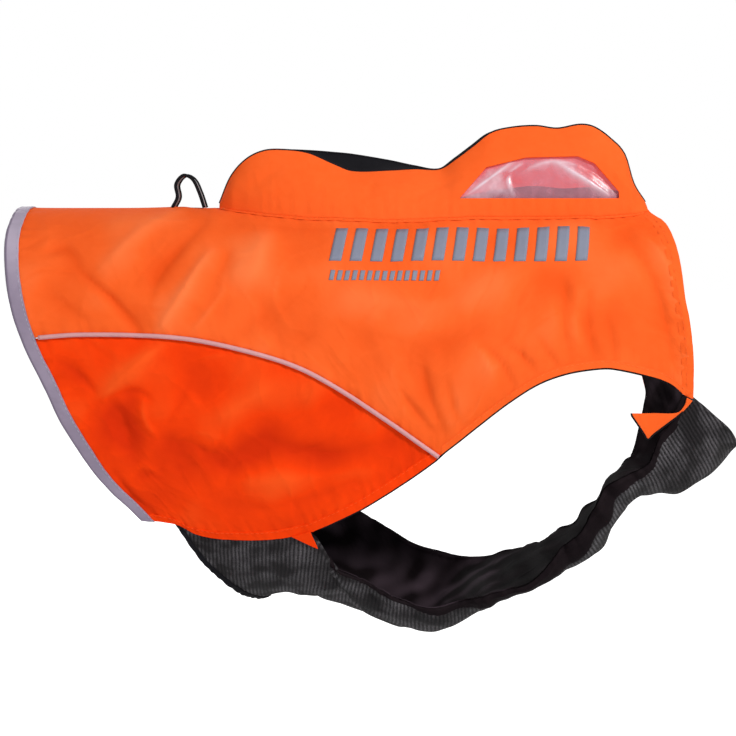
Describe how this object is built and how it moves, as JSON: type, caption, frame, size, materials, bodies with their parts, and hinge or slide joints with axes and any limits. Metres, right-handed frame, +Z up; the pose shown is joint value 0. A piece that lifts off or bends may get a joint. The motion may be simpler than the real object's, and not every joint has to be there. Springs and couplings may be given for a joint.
{
  "type": "dog safety vest",
  "caption": "High-visibility dog vest, filled out as worn: orange back and flank panels, reflective binding and piping, pocket on the back, dark stretch belly panel.",
  "frame": {"origin": "inside of the cloth on the spine, halfway along the back, where the wearer carries the vest", "axes": "+X towards the neck, +Y to the vest's left side, +Z up"},
  "size_m": [0.5642, 0.2085, 0.3999],
  "materials": {
    "light_orange_cloth": "matte",
    "red_orange_cloth": "matte",
    "reflective_tape": "satin",
    "ribbed_stretch": "matte",
    "black_lining": "satin",
    "black_trim": "matte",
    "clear_film": "gloss"
  },
  "bodies": {
    "root": {"back_panel": "light_orange_cloth", "side_panel_right": "red_orange_cloth", "side_panel_left": "red_orange_cloth", "hem_binding": "reflective_tape", "piping_right": "reflective_tape", "piping_left": "reflective_tape", "leg_edging_right": "black_trim", "leg_edging_left": "black_trim", "belly_panel": "ribbed_stretch", "belly_lining": "black_lining", "belly_binding": "black_trim", "front_tab_right": "light_orange_cloth", "front_tab_left": "light_orange_cloth", "rear_tab_right": "red_orange_cloth", "rear_tab_left": "red_orange_cloth", "pocket_wall_right": "light_orange_cloth", "pocket_wall_left": "light_orange_cloth", "pocket_top": "black_trim", "pocket_window": "clear_film", "loop_band": "clear_film", "loop_edge_right": "black_trim", "loop_edge_left": "black_trim"}
  },
  "joints": []
}
